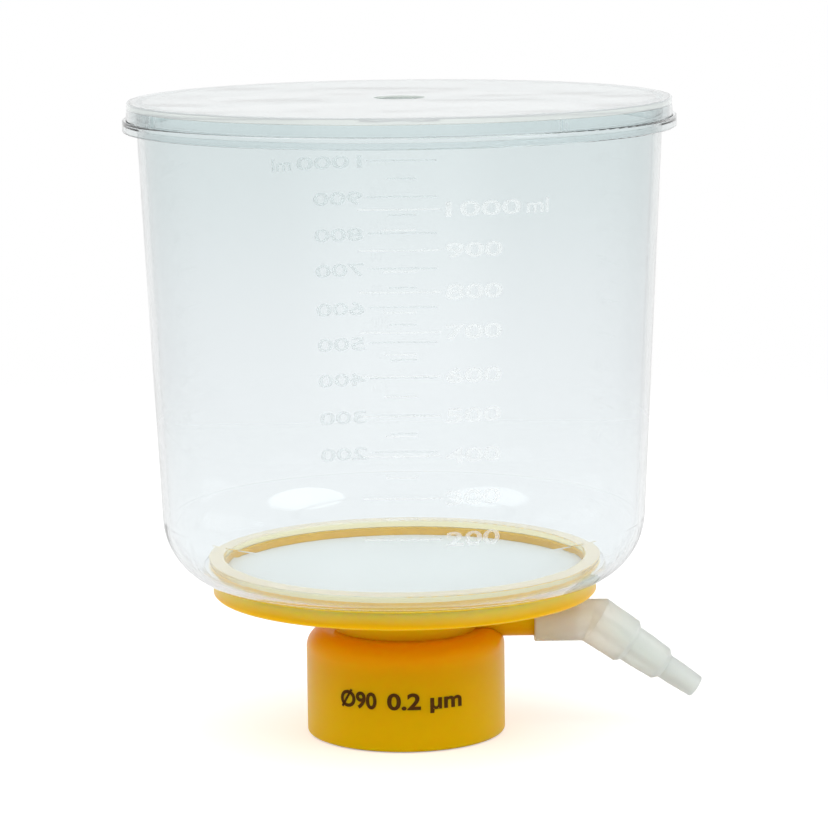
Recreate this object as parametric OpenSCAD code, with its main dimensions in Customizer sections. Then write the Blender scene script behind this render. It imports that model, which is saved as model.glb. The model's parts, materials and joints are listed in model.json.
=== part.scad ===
/* [Funnel] */
// How far the funnel's floor reaches out past the weld joint, to the foot of the wall
floor_w = 11.85; // [9:0.05:16]
// Height of the straight wall, from the bottom corner up to the rim flange
wall_h = 95.4; // [40:0.1:160]
// How much the wall's radius grows from the bottom corner to the rim flange
wall_spread = 4.2; // [1:0.05:8]
// Thickness of the funnel's wall
wall_t = 1.6; // [1.2:0.05:2.2]
// Outer radius of the rounded bottom corner
corner_r = 16.4; // [13:0.1:20]
// How far the flat underside cuts into the corner's round
corner_cut = 2.4; // [1.5:0.1:4]
// Thickness of the funnel's floor
floor_t = 1.7; // [1.6:0.05:2.2]
// Thickness of the floor ring round the opening, which is welded to the filter base
floor_ring_t = 3.9; // [3:0.05:5]
// How far that ring reaches out past the weld joint
ring_side_t = 1.3; // [1:0.05:2]
// Thickness of the rim flange
flange_t = 1.2; // [0.8:0.05:2]
// How far the rim flange shows outside the lid
flange_ledge = 1.1; // [0.8:0.05:3]
// Depth of the lip that hangs from the edge of the rim flange
lip_h = 1.5; // [0.8:0.05:4]
// Thickness of that lip
lip_t = 1.1; // [0.9:0.05:2]
// Height of the rim above the flange, which the lid covers
rim_h = 2.7; // [1.5:0.05:6]

/* [Lid] */
// Thickness of the lid's disc
lid_t = 1.6; // [1.2:0.05:2.5]
// Thickness of the lid's skirt
skirt_t = 0.8; // [0.6:0.05:1.5]
// How much the skirt flares outwards towards its lower edge
skirt_flare = 0.2; // [0.05:0.05:0.6]
// Gap left between the skirt's lower edge and the flange
skirt_gap = 0.15; // [0.1:0.05:0.6]
// Running gap between the locating ribs and the funnel's rim
lid_gap = 0.3; // [0.2:0.05:0.5]
// How far the locating ribs stand inwards from the skirt
lid_rib_d = 1; // [0.6:0.05:2]
// Width of each locating rib
lid_rib_w = 1.2; // [0.8:0.1:3]
// Radius of the round recess in the middle of the lid
recess_r = 6.1; // [3:0.1:15]
// Depth of that recess
recess_d = 0.7; // [0.2:0.05:1]

/* [Membrane] */
// Radius of the filter membrane disc
membrane_r = 45; // [36:0.1:56]
// Thickness of the filter membrane
membrane_t = 0.15; // [0.1:0.01:0.4]
// Width of the band at the membrane's edge that the floor ring clamps
clamp_w = 0.95; // [0.6:0.05:2]

/* [Filter base] */
// Gap between the connector's socket and the dish rim's lower edge
dish_gap = 3.2; // [3:0.1:10]
// Height from the dish rim's lower edge to the underside of the funnel
dish_h = 4.7; // [4:0.05:8]
// Wall thickness of the dish and of its welded tongue
dish_t = 1.4; // [1:0.05:1.8]
// How far the dish's tongue stands up in the floor ring's groove
tongue_h = 1.4; // [0.8:0.05:2.2]
// How far the dish's floor falls from its rim to the neck
dish_fall = 1.9; // [0.5:0.05:2.4]
// Thickness of the dish's floor
dish_floor_t = 1.8; // [1.2:0.05:2.4]
// Number of radial ribs that carry the membrane
rib_count = 24; // [8:2:36]
// Thickness of each rib
rib_t = 0.9; // [0.6:0.05:1.4]
// Bore radius of the drain spout
drain_r = 3; // [2:0.1:5]
// Wall thickness of the drain spout
drain_t = 1.4; // [1:0.1:2]
// Length of the drain spout below the dish's floor
drain_len = 13.5; // [5:0.5:20]
// Outer radius of the neck between dish and collar
neck_r = 17.5; // [14:0.1:18.5]
// Wall thickness of the neck
neck_t = 1.8; // [1.2:0.05:2.5]

/* [Neck collar] */
// Bore radius of the collar, at the root of its thread
collar_bore_r = 22.85; // [19.5:0.05:28]
// Wall thickness of the collar
collar_t = 1.35; // [1.1:0.05:2]
// Depth from the collar's mouth to the web that closes it
collar_depth = 22.6; // [16:0.1:30]
// How much narrower the gasket's seat is than the threaded bore below it, at the radius
seat_step = 1.25; // [0.5:0.05:2]
// Height of the gasket's seat, which is also how far the neck's plug skirt reaches down past the web
seat_h = 3.3; // [2.5:0.1:6]
// Thickness of that web
web_t = 3; // [2.2:0.05:4]
// Radius of the collar's rounded shoulder
shoulder_r = 4.5; // [3:0.1:5.5]
// Radius of the round on the collar's lower outer edge
collar_edge_r = 0.8; // [0.3:0.05:1]
// Thickness of the gasket that the bottle's mouth presses on
gasket_t = 1.5; // [1:0.1:2.2]
// Gap between the gasket and what it fits in and around
gasket_gap = 0.1; // [0.05:0.05:0.3]

/* [Side arm] */
// Outer radius of the side arm
arm_r = 3.7; // [3:0.05:4.5]
// Wall thickness of the side arm
arm_t = 1.5; // [1:0.05:2]
// Height of the side arm's underside above the collar's ceiling
arm_rise = 0.3; // [0.1:0.05:1.5]
// Length of the cotton plug in the side arm
cotton_len = 8; // [3:0.5:12]
// How deep the cotton plug sits in the side arm's end
cotton_inset = 0.5; // [0:0.1:3]

/* [Hose connector] */
// Distance from the collar to the connector's mouth
mouth_gap = 7.2; // [3:0.1:12]
// Length of the socket, from its mouth to the bend
socket_len = 14.9; // [12:0.1:20]
// Length of the side arm that the socket covers
grip_len = 10.1; // [6:0.1:11]
// Gap between the side arm's end and the socket's stop
stop_gap = 0.5; // [0.2:0.1:1]
// Running gap between socket and side arm
socket_gap = 0.06; // [0.02:0.01:0.1]
// Wall thickness of the socket
socket_t = 1.34; // [1:0.02:2]
// How much thicker the slanted part is than the socket, at the radius
thick_step = 0.9; // [0.2:0.05:1.2]
// Angle of the slanted part below the horizontal
bend_angle = 34.7; // [20:0.1:45]
// Length of the thick section, from the bend
thick_len = 9.7; // [7:0.1:14]
// How much thinner the thick section is at its end than at the bend
thick_taper = 0.2; // [0.02:0.02:0.5]
// Radius of the middle step at its shoulder
middle_r = 4.65; // [4:0.05:5.2]
// Length of the middle step, with its chamfer
middle_len = 10.1; // [7:0.1:14]
// Radius of the thin step at its shoulder
thin_r = 3.12; // [2.6:0.02:3.75]
// Length of the thin step, with its chamfer
thin_len = 10.3; // [7:0.1:14]
// Length of the straight land behind each step's taper
land_len = 3; // [2:0.1:5]
// How much thinner each step is at its end than at its land
step_taper = 0.32; // [0.02:0.02:0.5]
// Bore radius of the slanted part
connector_bore_r = 1.7; // [1:0.05:2.1]

/* [Hidden] */
$fn = 96;
// A cut's reach past the face that it starts from, and a joint's reach into the solid that it joins
past = 1;
eps = 0.01;

// Collar and side arm, from the collar's mouth upwards
collar_r = collar_bore_r + collar_t;
gasket_seat_r = collar_bore_r - seat_step;
gasket_seat_z = collar_depth - seat_h;
web_top = collar_depth + web_t;
arm_z = collar_depth + arm_rise + arm_r;
arm_bore_r = arm_r - arm_t;
cotton_gap = 0.02;

// Weld joint between funnel and base: the base's tongue stands in the funnel's groove
membrane_gap = 0.2;
weld_gap = 0.05;
tongue_in_r = membrane_r + membrane_gap;
tongue_out_r = tongue_in_r + dish_t;
opening_r = membrane_r - clamp_w;
ring_out_r = tongue_out_r + ring_side_t;

// Connector, whose bend stays clear of both the collar and the dish's edge when it swivels
socket_r = arm_r + socket_gap + socket_t;
thick_r = socket_r + thick_step;
bend_inset = 0.3;
bend_x = max(collar_r + mouth_gap + socket_len, tongue_out_r - bend_inset);
connector_x = bend_x - socket_len;
arm_end_x = connector_x + grip_len;
// The slanted part starts as a cone inside the socket, whose back edge lies just under the socket's top
blend_len = 3;
blend_r = (socket_r - blend_len * sin(bend_angle)) / cos(bend_angle) - eps;
// Round at every section's end and at the socket's mouth, and how far it lies inside the sharp corner
// where a 45 degree chamfer leaves it
soft_r = 0.5;
soft_cut = soft_r * (1 - cos(45));

// Dish and membrane
dish_z = arm_z + socket_r + dish_gap;
dish_floor_z = dish_z - dish_fall;
dish_edge_cut = 0.4;
floor_z = dish_z + dish_h;
seat_z = floor_z - membrane_t;
seat_w = 2;
rib_in = drain_r + drain_t + 2;
rib_in_short = neck_r + 4;
rib_out = tongue_in_r - seat_w + 0.2;
// Height of the middle of the dish's floor, which falls from the rim to the neck and is flat inside it
function floor_mid(r) = dish_floor_z + dish_floor_t / 2
  + dish_fall * max(0, r - neck_r) / (tongue_out_r - dish_edge_cut - neck_r);

// Funnel
wall_r = tongue_out_r + floor_w;
floor_top = floor_z + floor_t;
corner_z = floor_z + corner_r - corner_cut;
flange_z = corner_z + wall_h;
flange_top = flange_z + flange_t;
rim_top = flange_top + rim_h;
// The wall's outer face leans outwards, and both corner arcs have one centre and are tangent to the
// wall's faces
lean = atan(wall_spread / wall_h);
function outer_wall_r(z) = wall_r + (z - corner_z) * tan(lean);
function inner_wall_r(z) = outer_wall_r(z) - wall_t / cos(lean);
arc_r = wall_r - corner_r * cos(lean);
arc_z = corner_z + corner_r * sin(lean);
inner_corner_r = corner_r - wall_t;
inner_touch_z = arc_z - inner_corner_r * sin(lean);
// Small round on the moulded outer edges of funnel and lid
edge_r = 0.35;

// Lid, which rests on the funnel's rim
lid_rib_in_r = outer_wall_r(rim_top) + lid_gap;
lid_r = lid_rib_in_r + lid_rib_d + skirt_t;
flange_r = lid_r + flange_ledge;
skirt_z = flange_top + skirt_gap;
lid_top = rim_top + lid_t;
lid_rib_angles = [-55, -152.6, 15, 110];

module outer_section() {
  polygon([[0, corner_z], [wall_r, corner_z], [outer_wall_r(rim_top), rim_top], [0, rim_top]]);
  translate([0, floor_z]) square([arc_r, corner_z - floor_z]);
  intersection() {
    translate([arc_r, arc_z]) circle(r = corner_r);
    translate([arc_r - eps, floor_z]) square([corner_r + past, corner_z - floor_z]);
  }
}

// The room inside the funnel, round the floor ring and down through its opening
module inner_section() {
  difference() {
    union() {
      polygon([[0, inner_touch_z], [inner_wall_r(inner_touch_z), inner_touch_z],
               [inner_wall_r(rim_top + past), rim_top + past], [0, rim_top + past]]);
      translate([0, floor_top]) square([arc_r, inner_touch_z - floor_top]);
      intersection() {
        translate([arc_r, arc_z]) circle(r = inner_corner_r);
        translate([arc_r - eps, floor_top]) square([corner_r + past, inner_touch_z - floor_top]);
      }
    }
    translate([opening_r, floor_z]) rounded_rect([ring_out_r - opening_r, floor_ring_t], edge_r);
  }
  translate([0, floor_z - past]) square([opening_r, floor_ring_t + 2 * past]);
}

// The groove in the floor ring that the base's tongue is welded into
module groove_section() {
  translate([tongue_in_r - weld_gap, floor_z - past])
    square([dish_t + 2 * weld_gap, tongue_h + weld_gap + past]);
}

// A rectangle with four rounded corners, from its lower left corner
module rounded_rect(size, r) {
  translate([r, 0]) square([size.x - 2 * r, size.y]);
  translate([0, r]) square([size.x, size.y - 2 * r]);
  for (x = [r, size.x - r], y = [r, size.y - r])
    translate([x, y]) circle(r = r);
}

module flange_section() {
  inset = wall_t / 2;
  translate([outer_wall_r(flange_z) - inset, flange_z])
    rounded_rect([flange_r - outer_wall_r(flange_z) + inset, flange_t], edge_r);
  translate([flange_r - lip_t, flange_z - lip_h]) rounded_rect([lip_t, lip_h + flange_t], edge_r);
}

module funnel() {
  color([0.88, 0.93, 0.94, 0.35])
    rotate_extrude()
      difference() {
        union() {
          outer_section();
          flange_section();
        }
        inner_section();
        groove_section();
      }
}

// The lid's solid outline, from the flared skirt's edge up to the disc's rounded edge
module lid_outline() {
  round_r = lid_r - edge_r;
  round_z = lid_top - edge_r;
  polygon([[0, skirt_z], [lid_r + skirt_flare, skirt_z], [lid_r, rim_top], [lid_r, round_z],
           [round_r, round_z], [round_r, lid_top], [0, lid_top]]);
  translate([round_r, round_z]) circle(r = edge_r);
}

module lid_shell() {
  hollow_r = lid_r - skirt_t;
  rotate_extrude()
    difference() {
      lid_outline();
      polygon([[0, skirt_z - past], [hollow_r + skirt_flare, skirt_z - past],
               [hollow_r + skirt_flare, skirt_z], [hollow_r, rim_top], [0, rim_top]]);
      translate([0, lid_top - recess_d]) square([recess_r, recess_d + past]);
    }
}

module funnel_lid() {
  color([0.9, 0.94, 0.94, 0.4]) {
    lid_shell();
    for (a = lid_rib_angles)
      rotate(a)
        translate([lid_rib_in_r, -lid_rib_w / 2, skirt_z])
          cube([lid_rib_d + skirt_t / 2, lid_rib_w, rim_top - skirt_z + eps]);
  }
}

module filter_membrane() {
  color([0.93, 0.95, 0.94])
    translate([0, 0, seat_z]) cylinder(r = membrane_r, h = membrane_t);
}

// The dish's floor and wall, with the ledge under the membrane's edge and the welded tongue
module dish_section() {
  ledge_r = tongue_in_r - seat_w;
  polygon([[drain_r, dish_floor_z], [neck_r, dish_floor_z], [tongue_out_r - dish_edge_cut, dish_z],
           [tongue_out_r, dish_z + dish_edge_cut], [tongue_out_r, floor_z], [tongue_in_r, floor_z],
           [tongue_in_r, seat_z], [ledge_r, seat_z], [ledge_r, floor_mid(ledge_r) + dish_floor_t / 2],
           [neck_r, dish_floor_z + dish_floor_t], [drain_r, dish_floor_z + dish_floor_t]]);
  translate([tongue_in_r, floor_z - eps]) square([dish_t, tongue_h + eps]);
}

module collar_section() {
  shoulder_z = web_top - shoulder_r;
  difference() {
    union() {
      translate([0, collar_edge_r]) square([collar_r, shoulder_z - collar_edge_r]);
      square([collar_r - collar_edge_r, shoulder_z]);
      square([collar_r - shoulder_r, web_top]);
      translate([collar_r - collar_edge_r, collar_edge_r]) circle(r = collar_edge_r);
      translate([collar_r - shoulder_r, shoulder_z]) circle(r = shoulder_r);
    }
    translate([0, -past]) square([collar_bore_r, gasket_seat_z + past]);
    translate([0, -past]) square([gasket_seat_r, collar_depth + past]);
    translate([0, -past]) square([neck_r - neck_t, web_top + 2 * past]);
    translate([-collar_r, -past]) square([collar_r, web_top + 2 * past]);
  }
}

// The neck between collar and dish, with its plug skirt, and the drain spout inside it
module neck_section() {
  translate([neck_r - neck_t, gasket_seat_z]) square([neck_t, dish_floor_z + eps - gasket_seat_z]);
  translate([drain_r, dish_floor_z - drain_len]) square([drain_t, drain_len + eps]);
}

// Radial ribs that stand on the dish's sloping floor and carry the membrane, every other one shorter
module membrane_ribs() {
  for (i = [0 : rib_count - 1]) {
    start = i % 2 == 0 ? rib_in : rib_in_short;
    rotate([90, 0, i * 360 / rib_count])
      translate([0, 0, -rib_t / 2])
        linear_extrude(rib_t)
          polygon([[start, floor_mid(start)], [max(start, neck_r), floor_mid(max(start, neck_r))],
                   [rib_out, floor_mid(rib_out)], [rib_out, seat_z], [start, seat_z]]);
  }
}

// A tube or rod along the side arm's axis, between two distances from the unit's axis
module along_arm(r, from_x, to_x) {
  translate([from_x, 0, arm_z]) rotate([0, 90, 0]) cylinder(r = r, h = to_x - from_x);
}

module filter_base() {
  color([0.82, 0.6, 0.06])
    difference() {
      union() {
        rotate_extrude() dish_section();
        rotate_extrude() collar_section();
        rotate_extrude() neck_section();
        membrane_ribs();
        along_arm(arm_r, neck_r - neck_t / 2, arm_end_x);
      }
      along_arm(arm_bore_r, neck_r - neck_t - past, arm_end_x + past);
    }
}

module neck_gasket() {
  color([0.9, 0.9, 0.88])
    translate([0, 0, collar_depth - gasket_t])
      difference() {
        cylinder(r = gasket_seat_r - gasket_gap, h = gasket_t);
        translate([0, 0, -past]) cylinder(r = neck_r + gasket_gap, h = gasket_t + 2 * past);
      }
}

module vent_plug() {
  color([0.96, 0.96, 0.94])
    along_arm(arm_bore_r - cotton_gap, arm_end_x - cotton_inset - cotton_len, arm_end_x - cotton_inset);
}

// A section's end at radius r, with its outer corner rounded
module soft_end(r, end) {
  translate([0, end - soft_r - eps]) square([r - soft_r, soft_r + eps]);
  translate([r - soft_r, end - soft_r]) circle(r = soft_r);
}

// One step of the connector's slanted part: 45 degree shoulder, straight land, then a slight taper
module step_section(from, len, r, back_r) {
  land = from + back_r - r - 2 * soft_cut;
  end = from + len - soft_r;
  polygon([[0, from - soft_r], [back_r - soft_r, from - soft_r], [back_r - soft_cut, from - soft_cut],
           [r, land], [r, land + land_len], [r - step_taper, end], [0, end]]);
  soft_end(r - step_taper, from + len);
}

module slanted_outside() {
  thick_end_r = thick_r - thick_taper;
  rotate_extrude() {
    polygon([[0, -blend_len], [blend_r, -blend_len], [thick_r, 0], [thick_end_r, thick_len - soft_r],
             [0, thick_len - soft_r]]);
    soft_end(thick_end_r, thick_len);
    step_section(thick_len, middle_len, middle_r, thick_end_r);
    step_section(thick_len + middle_len, thin_len, thin_r, middle_r - step_taper);
  }
}

// Places its children at the bend, with their Z axis along the slanted part
module at_bend() {
  translate([bend_x, 0, arm_z]) rotate([0, 90 + bend_angle, 0]) children();
}

// The socket's outside, with a rounded mouth, which runs past the bend and ends under the slanted
// part's upper side
module socket_outside() {
  len = socket_len + thick_r * sin(bend_angle);
  difference() {
    translate([connector_x + len, 0, arm_z]) rotate([0, -90, 0])
      rotate_extrude() {
        square([socket_r, len - soft_r]);
        soft_end(socket_r, len);
      }
    at_bend()
      translate([-3 * thick_r, -2 * thick_r, -2 * thick_r])
        cube([2 * thick_r, 4 * thick_r, 6 * thick_r]);
  }
}

module hose_connector() {
  color([0.86, 0.89, 0.87])
    difference() {
      union() {
        socket_outside();
        at_bend() slanted_outside();
      }
      along_arm(arm_r + socket_gap, connector_x - past, arm_end_x + stop_gap);
      along_arm(arm_bore_r, connector_x, bend_x);
      translate([bend_x, 0, arm_z]) sphere(r = arm_bore_r);
      at_bend() cylinder(r = connector_bore_r, h = thick_len + middle_len + thin_len + past);
    }
}

funnel();
funnel_lid();
filter_membrane();
filter_base();
neck_gasket();
hose_connector();
vent_plug();
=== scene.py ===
"""Vacuum filtration unit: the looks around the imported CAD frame.

A clear funnel with a loose lid stands on an amber base with a neck collar, a side arm and a milky hose
connector. All lengths are in metres, in the frame's own axes.
"""

import json
import math

import bmesh
import bpy
from mathutils import Matrix, Vector
from mathutils.bvhtree import BVHTree


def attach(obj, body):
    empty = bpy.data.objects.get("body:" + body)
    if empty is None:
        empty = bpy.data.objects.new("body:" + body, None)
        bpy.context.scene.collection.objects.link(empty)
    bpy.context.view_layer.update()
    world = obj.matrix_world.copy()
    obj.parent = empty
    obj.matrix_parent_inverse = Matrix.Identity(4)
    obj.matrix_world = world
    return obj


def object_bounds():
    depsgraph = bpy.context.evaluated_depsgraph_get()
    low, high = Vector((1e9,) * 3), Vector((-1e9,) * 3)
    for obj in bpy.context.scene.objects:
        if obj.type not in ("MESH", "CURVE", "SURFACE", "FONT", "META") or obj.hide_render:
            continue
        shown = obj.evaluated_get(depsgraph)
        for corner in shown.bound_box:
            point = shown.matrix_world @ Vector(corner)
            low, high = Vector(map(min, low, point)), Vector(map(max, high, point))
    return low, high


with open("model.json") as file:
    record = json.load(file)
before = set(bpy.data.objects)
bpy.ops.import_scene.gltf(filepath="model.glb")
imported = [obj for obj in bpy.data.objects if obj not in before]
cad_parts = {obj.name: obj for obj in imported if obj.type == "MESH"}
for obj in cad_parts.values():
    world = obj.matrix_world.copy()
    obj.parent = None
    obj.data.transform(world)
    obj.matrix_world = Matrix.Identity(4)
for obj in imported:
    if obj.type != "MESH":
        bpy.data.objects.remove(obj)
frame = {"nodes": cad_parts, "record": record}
cad_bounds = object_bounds()

MM = 0.001

# The painted yellow glow in the funnel's floor ring, which stands for the amber base's light that the ring
# carries, ends between these radii. Between these heights it weakens to the share that the ring's top face keeps.
RING_EDGE, RING_TOP, TOP_SHARE = (48.0 * MM, 48.3 * MM), (42.7 * MM, 43.4 * MM), 0.3
# How much of the see-through a frosted face loses, and how wide its edge fades.
FROSTING, FROST_EDGE = 0.6, 0.2 * MM


# ---------------------------------------------------------------- nodes and materials

class Tree:
    """A material's or the world's node tree, with short calls to add and join nodes."""

    def __init__(self, owner):
        owner.use_nodes = True
        self.nodes = owner.node_tree.nodes
        self.links = owner.node_tree.links
        self.nodes.clear()

    def set(self, node, name, value):
        """Fills an input, named or by number, with a plain value or another node's output socket."""
        socket = node.inputs[name]
        if isinstance(value, bpy.types.NodeSocket):
            self.links.new(value, socket)
        else:
            socket.default_value = value

    def add(self, kind, **values):
        """Adds a node. Each value fills the input of that name, with _ for a space."""
        node = self.nodes.new(kind)
        for name, value in values.items():
            self.set(node, name.replace("_", " "), value)
        return node

    def math(self, operation, *values):
        node = self.nodes.new("ShaderNodeMath")
        node.operation = operation
        for i, value in enumerate(values):
            self.set(node, i, value)
        return node.outputs[0]

    def smooth(self, value, low, high, at_low=0.0, at_high=1.0):
        """A smooth step from at_low to at_high as the value goes from low to high."""
        node = self.nodes.new("ShaderNodeMapRange")
        node.interpolation_type = "SMOOTHSTEP"
        for i, v in enumerate((value, low, high, at_low, at_high)):
            self.set(node, i, v)
        return node.outputs[0]

    def mix(self, factor, a, b):
        """One shader over another."""
        node = self.nodes.new("ShaderNodeMixShader")
        for i, v in enumerate((factor, a, b)):
            self.set(node, i, v)
        return node.outputs[0]

    def noise(self, scale, detail=2.0, roughness=0.5):
        """Noise in the object's own coordinates."""
        place = self.add("ShaderNodeTexCoord").outputs["Object"]
        return self.add("ShaderNodeTexNoise", Vector=place, Scale=scale, Detail=detail,
                        Roughness=roughness).outputs["Fac"]

    def height_and_radius(self):
        """The object's own height, and the distance from its upright axis."""
        place = self.add("ShaderNodeTexCoord").outputs["Object"]
        across = self.add("ShaderNodeVectorMath")
        across.operation = "MULTIPLY"
        self.set(across, 0, place)
        self.set(across, 1, (1, 1, 0))
        length = self.add("ShaderNodeVectorMath")
        length.operation = "LENGTH"
        self.set(length, 0, across.outputs[0])
        return self.add("ShaderNodeSeparateXYZ", Vector=place).outputs["Z"], length.outputs["Value"]

    def ramp(self, factor, *stops):
        """A colour ramp with (place, grey or colour) stops."""
        node = self.add("ShaderNodeValToRGB", Fac=factor)
        elements = node.color_ramp.elements
        while len(elements) < len(stops):
            elements.new(0.5)
        for element, (place, colour) in zip(elements, stops):
            element.position = place
            element.color = rgba(colour)
        return node.outputs["Color"]

    def bump(self, height, distance):
        return self.add("ShaderNodeBump", Height=height, Distance=distance).outputs[0]

    def surface(self, shader):
        return self.add("ShaderNodeOutputMaterial", Surface=shader)


def rgba(colour):
    if isinstance(colour, (int, float)):
        colour = (colour,) * 3
    return (*colour, 1.0)


def material(name):
    made = bpy.data.materials.new(name)
    return made, Tree(made)


def clear_plastic(name, face, shaded_top_face, tint, density, matt_in, matt_out, matt_low, rim, weld=None):
    """Clear moulded plastic with faintly wavy faces, which lets lamp light through. Each face dims what is seen
    through it a little, and its depth tints it more. Towards the top the faces are painted dimmer, a painted
    shade. The faces between the two matt radii and above the matt height are frosted, and so is all that lies
    above the rim's height. With a ring colour given, the floor ring is painted with it, a painted glow of the
    amber base's yellow light that the ring carries."""
    made, t = material(name)
    wave = t.bump(t.noise(38.0, 1.0), 0.00002)
    height, radius = t.height_and_radius()
    # Painted shade: the colour dims towards the top of the funnel, with a faint random mottle.
    top_shade_and_mottle = t.math("MULTIPLY_ADD", t.noise(20.0, 1.0), 0.1, t.smooth(height, 90 * MM, 150 * MM, 0, 0.95))
    colour = t.ramp(top_shade_and_mottle, (0, face), (1, shaded_top_face))
    # Painted glow: the amber base's yellow light, carried by the clear floor ring, is painted into the ring's
    # colour.
    if weld:
        in_ring = t.smooth(radius, *RING_EDGE, 1.0, 0.0)
        low = t.smooth(height, *RING_TOP, 1.0, TOP_SHARE)
        blend = t.add("ShaderNodeMix", Factor=t.math("MULTIPLY", in_ring, low))
        blend.data_type = "RGBA"
        t.set(blend, 6, colour)
        t.set(blend, 7, rgba(weld))
        colour = blend.outputs[2]
    matt = t.math("MULTIPLY", t.smooth(radius, matt_in, matt_in + FROST_EDGE),
                  t.math("MULTIPLY", t.smooth(radius, matt_out, matt_out + FROST_EDGE, 1.0, 0.0),
                         t.smooth(height, matt_low, matt_low + FROST_EDGE)))
    matt = t.math("MAXIMUM", matt, t.smooth(height, rim, rim + 0.1 * MM))
    clear = t.math("MULTIPLY_ADD", matt, -FROSTING, 1.0)
    shader = t.add("ShaderNodeBsdfPrincipled", Base_Color=colour, Roughness=0.0, IOR=1.58,
                   Transmission_Weight=clear, Normal=wave).outputs[0]
    lamp_light = t.add("ShaderNodeBsdfTransparent", Color=(0.95, 0.96, 0.96, 1)).outputs[0]
    lamp_ray = t.add("ShaderNodeLightPath").outputs["Is Shadow Ray"]
    out = t.surface(t.mix(lamp_ray, shader, lamp_light))
    t.set(out, "Volume", t.add("ShaderNodeVolumeAbsorption", Color=rgba(tint), Density=density).outputs[0])
    return made


def membrane_material():
    """A matte, fine-fibred white filter disc."""
    made, t = material("filter_membrane")
    colour = t.ramp(t.noise(45.0), (0.3, (0.87, 0.90, 0.885)), (0.7, (0.90, 0.925, 0.91)))
    shader = t.add("ShaderNodeBsdfPrincipled", Base_Color=colour, Roughness=0.75, Specular_IOR_Level=0.25,
                   Normal=t.bump(t.noise(2600.0, 3.0, 0.6), 0.00002))
    t.surface(shader.outputs[0])
    return made


def amber_material():
    """Amber, translucent moulded plastic with a smooth gloss. Between dish and collar its colour is painted
    lighter, a painted glow where its walls light each other, and at the dish's top edge it is painted paler, a
    painted highlight."""
    made, t = material("amber_base")
    height = t.height_and_radius()[0]
    level = t.math("MULTIPLY_ADD", t.noise(30.0), 0.04, t.math("DIVIDE", height, 50 * MM))
    # By height: a little lighter low on the collar; painted light in the neck between collar and dish, which lies
    # in the dish's shade; paler and yellower at the dish's top edge, a painted highlight.
    colour = t.ramp(level, (0.1, (0.82, 0.41, 0.001)), (0.36, (0.78, 0.36, 0.001)), (0.52, (0.79, 0.35, 0.001)),
                    (0.58, (1.0, 0.52, 0.001)), (0.70, (1.0, 0.52, 0.001)), (0.74, (0.70, 0.41, 0.004)),
                    (0.80, (0.73, 0.59, 0.13)))
    shader = t.add("ShaderNodeBsdfPrincipled", Base_Color=colour, Roughness=0.3, IOR=1.5,
                   Specular_IOR_Level=0.2, Specular_Tint=(1.0, 0.6, 0.1, 1),
                   Subsurface_Weight=1.0, Subsurface_Radius=(1.0, 0.4, 0.03), Subsurface_Scale=0.006,
                   Normal=t.bump(t.noise(900.0), 0.00001))
    t.surface(shader.outputs[0])
    return made


def milky_material():
    """Milky translucent plastic. Its colour is painted yellow near the root, a painted blurred tint of the amber
    arm that shows through from inside, and greyer towards the tip.
    """
    made, t = material("milky_connector")
    place = t.add("ShaderNodeTexCoord").outputs["Object"]
    along = t.add("ShaderNodeSeparateXYZ", Vector=place).outputs["X"]
    # Painted see-through tint: yellow near the root over the amber arm, greyer towards the tip.
    reach = t.math("MULTIPLY_ADD", t.noise(140.0), 0.05, t.smooth(along, 31 * MM, 58 * MM, 0, 0.95))
    colour = t.ramp(reach, (0.05, (1.0, 0.94, 0.70)), (0.45, (0.99, 0.95, 0.83)), (0.9, (0.86, 0.91, 0.87)))
    rough = t.ramp(t.noise(400.0), (0.3, 0.36), (0.7, 0.44))
    shader = t.add("ShaderNodeBsdfPrincipled", Base_Color=colour, Roughness=rough, IOR=1.45,
                   Subsurface_Weight=1.0, Subsurface_Radius=(1.0, 1.0, 0.95), Subsurface_Scale=0.003,
                   Transmission_Weight=0.5, Normal=t.bump(t.noise(700.0), 0.00001))
    t.surface(shader.outputs[0])
    return made


def plain_material(name, dark, light, scale, roughness, grain=0.00001, specular=0.3, cover=1.0):
    """A finish whose colour drifts between two values, with a fine grain. Its cover is how opaque it is."""
    made, t = material(name)
    colour = t.ramp(t.noise(scale, 3.0), (0.3, dark), (0.7, light))
    shader = t.add("ShaderNodeBsdfPrincipled", Base_Color=colour, Roughness=roughness, Alpha=cover,
                   Specular_IOR_Level=specular, Normal=t.bump(t.noise(scale * 12), grain))
    t.surface(shader.outputs[0])
    return made


# ---------------------------------------------------------------- camera, room and lamps

def camera():
    """The photograph's view: a long lens a little above the object's middle, looking slightly down."""
    data = bpy.data.cameras.new("camera")
    data.lens, data.sensor_width = 151.1, 36.0
    data.clip_start, data.clip_end = 0.05, 20.0
    view = bpy.data.objects.new("camera", data)
    bpy.context.scene.collection.objects.link(view)
    pitch, roll, yaw = math.radians(9.263), math.radians(-0.649), math.radians(0.186)
    level = Vector((math.sin(yaw), math.cos(yaw), 0))
    right = Vector((math.cos(yaw), -math.sin(yaw), 0))
    up = level * math.sin(pitch) + Vector((0, 0, math.cos(pitch)))
    forward = level * math.cos(pitch) - Vector((0, 0, math.sin(pitch)))
    turned_right = right * math.cos(roll) + up * math.sin(roll)
    turned_up = up * math.cos(roll) - right * math.sin(roll)
    axes = Matrix((turned_right, turned_up, -forward)).transposed()
    view.matrix_world = Matrix.Translation((0, -0.8297, 0.2133)) @ axes.to_4x4()
    bpy.context.scene.camera = view


def seen(t, straight, through, mirrored):
    """The strength of the background for rays that see it straight, through clear plastic, or mirrored in a
    glossy face. It is 0 for all others, which light the object."""
    path = t.add("ShaderNodeLightPath").outputs
    return t.math("MAXIMUM", t.math("MULTIPLY", path["Is Camera Ray"], straight),
                  t.math("MAXIMUM", t.math("MULTIPLY", path["Is Transmission Ray"], through),
                         t.math("MULTIPLY", path["Is Glossy Ray"], mirrored)))


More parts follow.
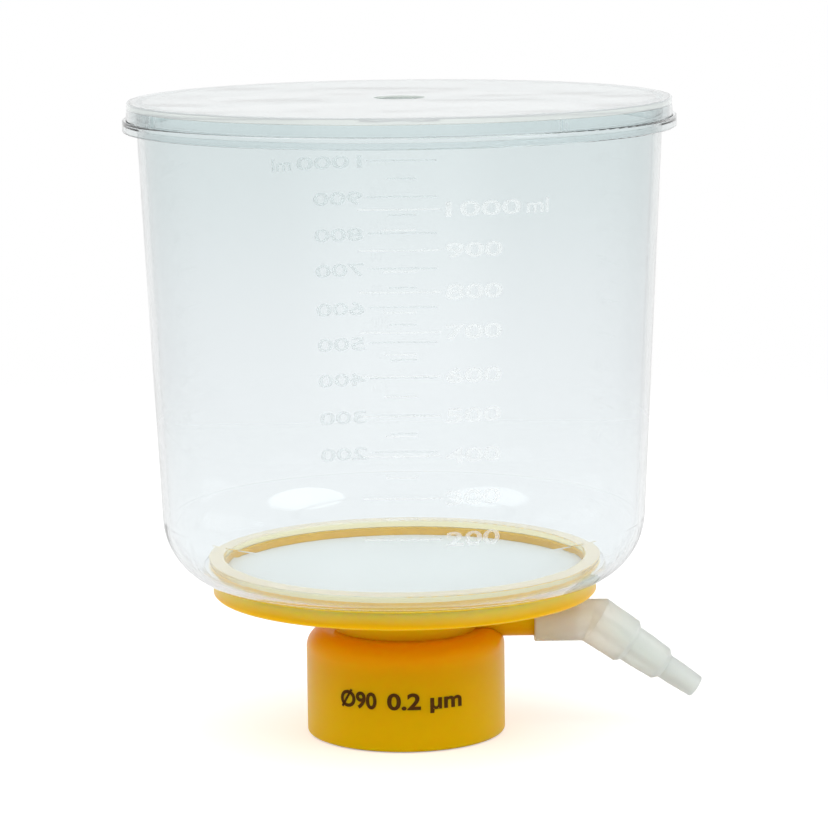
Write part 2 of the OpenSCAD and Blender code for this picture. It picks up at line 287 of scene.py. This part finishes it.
def room():
    """A white room with greyer side walls, and a soft bowl of light that is a little dimmer low down."""
    world = bpy.data.worlds.new("room")
    bpy.context.scene.world = world
    t = Tree(world)
    place = t.add("ShaderNodeTexCoord").outputs["Generated"]
    parts = t.add("ShaderNodeSeparateXYZ", Vector=place).outputs
    bowl = t.smooth(parts["Z"], -0.2, 0.1, 0.85, 1.0)
    sides = t.smooth(t.math("ABSOLUTE", parts["X"]), 0.3, 0.85, 1.0, 0.25)
    mirrored = t.math("MULTIPLY", sides, t.smooth(parts["Z"], 0.05, 0.3, 1.0, 0.6))
    lighting = t.math("SUBTRACT", 1.0, seen(t, 1.0, 1.0, 1.0))
    strength = t.math("MULTIPLY_ADD", bowl, lighting, seen(t, 1.0, 1.0, mirrored))
    background = t.add("ShaderNodeBackground", Color=rgba(1), Strength=strength)
    t.add("ShaderNodeOutputWorld", Surface=background.outputs[0])


def floor():
    """A pale round table top that keeps the object's shadow and fades into the white room."""
    bm = bmesh.new()
    bmesh.ops.create_circle(bm, cap_ends=True, radius=0.7, segments=96)
    bmesh.ops.translate(bm, verts=bm.verts, vec=(0, 0, cad_bounds[0].z - 0.0002))
    mesh = bpy.data.meshes.new("floor")
    bm.to_mesh(mesh)
    bm.free()
    top = bpy.data.objects.new("floor", mesh)
    bpy.context.scene.collection.objects.link(top)
    made, t = material("floor")
    place = t.add("ShaderNodeTexCoord").outputs["Object"]
    far = t.add("ShaderNodeVectorMath")
    far.operation = "LENGTH"
    t.set(far, 0, place)
    paint = t.add("ShaderNodeBsdfDiffuse", Color=rgba(0.8)).outputs[0]
    lift = seen(t, 0.4, 0.1, 0.1)
    glow = t.add("ShaderNodeEmission", Color=rgba(1), Strength=lift).outputs[0]
    both = t.add("ShaderNodeAddShader")
    t.set(both, 0, paint)
    t.set(both, 1, glow)
    clear = t.add("ShaderNodeBsdfTransparent", Color=rgba(1)).outputs[0]
    fade = t.smooth(far.outputs["Value"], 0.22, 0.6)
    t.surface(t.mix(fade, both.outputs[0], clear))
    mesh.materials.append(made)


def lamp(name, place, size, power):
    data = bpy.data.lights.new(name, "AREA")
    data.shape, data.size, data.energy = "DISK", size, power
    light = bpy.data.objects.new(name, data)
    light.location = place
    aim = Vector((0, 0, 0.07)) - Vector(place)
    light.rotation_euler = aim.to_track_quat("-Z", "Y").to_euler()
    bpy.context.scene.collection.objects.link(light)


# ---------------------------------------------------------------- prints and moulded details

def mesh_piece(name, bm, body, look):
    """Turns a bmesh into a piece that rides on a body."""
    mesh = bpy.data.meshes.new(name)
    bm.to_mesh(mesh)
    bm.free()
    mesh.materials.append(look)
    piece = bpy.data.objects.new(name, mesh)
    bpy.context.scene.collection.objects.link(piece)
    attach(piece, body)
    return piece


def bar(x, y, width, height):
    """A flat rectangle by its centre and size."""
    bm = bmesh.new()
    corners = [(-1, -1), (1, -1), (1, 1), (-1, 1)]
    bm.faces.new([bm.verts.new((x + i * width / 2, y + j * height / 2, 0)) for i, j in corners])
    return bm


def letters(text, weight):
    """Flat letters one unit high, from the left end of their baseline."""
    curve = bpy.data.curves.new("letters", "FONT")
    curve.body = text
    curve.offset = weight
    curve.resolution_u = 5
    holder = bpy.data.objects.new("letters", curve)
    bpy.context.scene.collection.objects.link(holder)
    bpy.context.view_layer.update()
    mesh = bpy.data.meshes.new_from_object(holder)
    bpy.data.objects.remove(holder)
    bpy.data.curves.remove(curve)
    bm = bmesh.new()
    bm.from_mesh(mesh)
    bpy.data.meshes.remove(mesh)
    return bm


CAP_HEIGHT = 0.729


def label(text, left, base, width, height, weight):
    """Flat letters whose capitals are that high, stretched to fill a width from the left edge."""
    bm = letters(text, weight)
    low = min(v.co.x for v in bm.verts)
    high = max(v.co.x for v in bm.verts)
    for v in bm.verts:
        v.co = Vector((left + (v.co.x - low) * width / (high - low), base + v.co.y * height / CAP_HEIGHT, 0))
    return bm


def join(parts):
    """One bmesh from several, which are used up."""
    joined = bmesh.new()
    for part in parts:
        mesh = bpy.data.meshes.new("part")
        part.to_mesh(mesh)
        part.free()
        joined.from_mesh(mesh)
        bpy.data.meshes.remove(mesh)
    return joined


def around(angle, r, z):
    return Vector((r * math.sin(angle), -r * math.cos(angle), z))


def thicken(bm, thickness):
    """Makes flat faces a closed solid that goes up by a thickness, with both skins facing outwards. Where
    an outline overlaps itself, a few of its side faces still run against each other."""
    flat = bm.faces[:]
    for face in flat:
        if face.normal.z < 0:
            face.normal_flip()
    rim = [(loop.vert, loop.link_loop_next.vert) for face in flat for loop in face.loops
           if len(loop.edge.link_faces) == 1]
    top = {v: bm.verts.new((v.co.x, v.co.y, thickness)) for v in bm.verts[:]}
    for face in flat:
        bm.faces.new([top[v] for v in face.verts])
    for a, b in rim:
        bm.faces.new((a, b, top[b], top[a]))
    for face in flat:
        face.normal_flip()


def wrap(bm, node, azimuth, z, depth, thickness):
    """Makes a flat print a thin solid and bends it round a node's outer wall. X runs round the wall and Y up
    it. Azimuth 0 faces -Y and grows towards +X. The print starts depth inside the wall."""
    low = min(v.co.x for v in bm.verts)
    high = max(v.co.x for v in bm.verts)
    strip = 0.6 * MM
    for i in range(1, math.ceil((high - low) / strip)):
        everything = bm.verts[:] + bm.edges[:] + bm.faces[:]
        bmesh.ops.bisect_plane(bm, geom=everything, plane_co=(low + i * strip, 0, 0), plane_no=(1, 0, 0))
    bmesh.ops.remove_doubles(bm, verts=bm.verts, dist=0.001 * MM)
    thicken(bm, thickness)
    solid = bmesh.new()
    solid.from_mesh(frame["nodes"][node].data)
    surface = BVHTree.FromBMesh(solid)
    solid.free()
    wall = {}

    def wall_radius(angle, height):
        key = (round(angle, 6), round(height, 7))
        if key not in wall:
            start = around(angle, 0.2, height)
            hit = surface.ray_cast(start, Vector((-start.x, -start.y, 0)))[0]
            wall[key] = math.hypot(hit.x, hit.y)
        return wall[key]

    heights = [v.co.y for v in bm.verts]
    middle = wall_radius(azimuth, z + (min(heights) + max(heights)) / 2)
    for v in bm.verts:
        angle = azimuth + v.co.x / middle
        height = z + v.co.y
        v.co = around(angle, wall_radius(angle, height) - depth + v.co.z, height)
    return bm


# The volume in mL and the height in mm of each long line. They stand where the unit's own marks do, and are
# only near the funnel's true volumes.
GRADUATIONS = ((1000, 134.0), (900, 124.8), (800, 115.4), (700, 106.3), (600, 96.3), (500, 87.2),
               (400, 78.0), (300, 68.2), (200, 58.7))
LINE, LONG_LINE, SHORT_LINE, LINE_MIDDLE = 0.35 * MM, 18.0 * MM, 7.2 * MM, -0.35 * MM
DIGIT_LEFT, DIGIT_HEIGHT, DIGIT_WEIGHT = 9.8 * MM, 3.3 * MM, 0.02
DIGIT_WIDTH, DIGIT_DROP = 4.35, 1.65  # in mm, like the heights: one digit's width, and half its height
UNIT_LEFT, UNIT_WIDTH = 28.6 * MM, 5.6 * MM
LABEL_BASE, LABEL_HEIGHT, LABEL_WEIGHT = 10.6 * MM, 4.0 * MM, 0.03
INK_DEPTH, INK_THICKNESS = 0.01 * MM, 0.04 * MM


def scale_print(name, azimuth, look):
    """The funnel's graduations: a long line and its number each 100 ml, and a short line half way."""
    parts = []
    for volume, z in GRADUATIONS:
        parts.append(bar(LINE_MIDDLE, z * MM, LONG_LINE, LINE))
        digits = str(volume)
        parts.append(label(digits, DIGIT_LEFT, (z - DIGIT_DROP) * MM, DIGIT_WIDTH * len(digits) * MM,
                           DIGIT_HEIGHT, DIGIT_WEIGHT))
    for (_, high), (_, low) in zip(GRADUATIONS, GRADUATIONS[1:]):
        parts.append(bar(LINE_MIDDLE, (high + low) / 2 * MM, SHORT_LINE, LINE))
    top_height = GRADUATIONS[0][1]
    parts.append(label("ml", UNIT_LEFT, (top_height - DIGIT_DROP) * MM, UNIT_WIDTH, DIGIT_HEIGHT, DIGIT_WEIGHT))
    print_bm = wrap(join(parts), "funnel", azimuth, 0, INK_DEPTH, INK_THICKNESS)
    return mesh_piece(name, print_bm, "unit", look)


def collar_label(look):
    """Generic size marks on the collar: the filter's diameter and the size of its pores."""
    slash = bar(0, 0, 0.6 * MM, 5.2 * MM)
    bmesh.ops.rotate(slash, verts=slash.verts, matrix=Matrix.Rotation(math.radians(-32), 3, "Z"))
    bmesh.ops.translate(slash, verts=slash.verts, vec=(-15.15 * MM, 2.0 * MM, 0))
    parts = [slash, label("O90", -17.0 * MM, 0, 9.8 * MM, LABEL_HEIGHT, LABEL_WEIGHT),
             label("0.2 µm", -4.6 * MM, 0, 18.6 * MM, LABEL_HEIGHT, LABEL_WEIGHT)]
    print_bm = wrap(join(parts), "filter_base", 0, LABEL_BASE, INK_DEPTH, INK_THICKNESS)
    return mesh_piece("collar_label", print_bm, "unit", look)


def weld_bead(look):
    """The fused amber ring at the weld, which fills the groove in the funnel's floor ring."""
    inner, outer, low, high, segments = 44.1 * MM, 47.8 * MM, 39.63 * MM, 41.25 * MM, 192
    bm = bmesh.new()
    rings = []
    for i in range(segments):
        angle = 2 * math.pi * i / segments
        rings.append([bm.verts.new(around(angle, r, z))
                      for r, z in ((inner, low), (outer, low), (outer, high), (inner, high))])
    for a, b in zip(rings, rings[1:] + rings[:1]):
        for j in range(4):
            bm.faces.new((a[j], a[(j + 1) % 4], b[(j + 1) % 4], b[j]))
    bmesh.ops.recalc_face_normals(bm, faces=bm.faces)
    return mesh_piece("weld_bead", bm, "unit", look)


def neck_thread(look):
    """The collar's right-handed inner thread, 4 mm to a turn, which fades into the bore at both ends."""
    mount = next(m for m in frame["record"]["mounts"] if m["name"] == "bottle_neck")
    bore = mount["dims"]["r_mm"] * MM
    pitch, turns, first = 4.0 * MM, 2.75, 3.6 * MM
    ridge, root, crest, buried, run_out = 1.1 * MM, 1.3 * MM, 0.5 * MM, 0.15 * MM, 0.12
    steps = 72
    count = round(turns * steps)
    bm = bmesh.new()
    rings = []
    for i in range(count + 1):
        angle = 2 * math.pi * i / steps
        z = first + pitch * i / steps
        rise = min(1.0, i / (run_out * steps), (count - i) / (run_out * steps))
        inner = bore - ridge * max(rise, 0.0) + buried * (1 - rise)
        section = [(bore + buried, z - root), (bore, z - root), (inner, z - crest), (inner, z + crest),
                   (bore, z + root), (bore + buried, z + root)]
        rings.append([bm.verts.new((r * math.cos(angle), r * math.sin(angle), h)) for r, h in section])
    for a, b in zip(rings, rings[1:]):
        for j in range(len(a)):
            k = (j + 1) % len(a)
            bm.faces.new((a[j], a[k], b[k], b[j]))
    bm.faces.new(rings[0])
    bm.faces.new(rings[-1][::-1])
    bmesh.ops.recalc_face_normals(bm, faces=bm.faces)
    piece = mesh_piece("neck_thread", bm, "unit", look)
    for face in piece.data.polygons:
        face.use_smooth = True
    return piece


# ---------------------------------------------------------------- the scene

bpy.context.scene.view_settings.view_transform = "Standard"
camera()
room()
floor()
lamp("lamp_left", (-0.9, -0.7, 0.9), 1.0, 3.0)
lamp("lamp_right", (1.0, -0.6, 0.8), 1.0, 4.0)

amber = amber_material()
looks = {
    # The funnel's top face colour is a painted shade towards its top.
    "funnel": clear_plastic("clear_funnel", face=(0.925, 0.95, 0.96), shaded_top_face=(0.845, 0.89, 0.895),
                            tint=(0.80, 0.90, 0.90), density=6.0, matt_in=40 * MM, matt_out=48.0 * MM,
                            # The ring colour is a painted glow of the amber base's yellow light in the clear floor
                            # ring.
                            matt_low=43.2 * MM, rim=152.7 * MM, weld=(0.96, 0.88, 0.54)),
    # The lid has no rim of its own: its rim height is above its top.
    "funnel_lid": clear_plastic("clear_lid", face=(0.85, 0.915, 0.92), shaded_top_face=(0.865, 0.91, 0.915),
                                tint=(0.86, 0.90, 0.70), density=5.0, matt_in=64.4 * MM, matt_out=70 * MM,
                                matt_low=152.9 * MM, rim=160 * MM),
    "filter_membrane": membrane_material(),
    "filter_base": amber,
    "neck_gasket": plain_material("neck_gasket", (0.72, 0.73, 0.71), (0.80, 0.80, 0.78), 300.0, 0.55),
    "hose_connector": milky_material(),
    "vent_plug": plain_material("cotton", (0.78, 0.77, 0.74), (0.90, 0.89, 0.87), 900.0, 0.95, 0.0002, 0.1),
}
for node, look in looks.items():
    slots = frame["nodes"][node].data.materials
    slots.clear()
    slots.append(look)

white = plain_material("white_print", (0.92, 0.95, 0.95), (0.96, 0.98, 0.98), 900.0, 0.6, specular=0.1, cover=0.26)
brown = plain_material("brown_print", (0.06, 0.022, 0.003), (0.08, 0.03, 0.004), 900.0, 0.6, specular=0.05)
scale_print("scale_front", 0, white)
scale_print("scale_back", math.pi, white)
collar_label(brown)
neck_thread(amber)
weld_bead(plain_material("weld", (0.97, 0.66, 0.04), (1.0, 0.71, 0.06), 200.0, 0.6, specular=0.0))
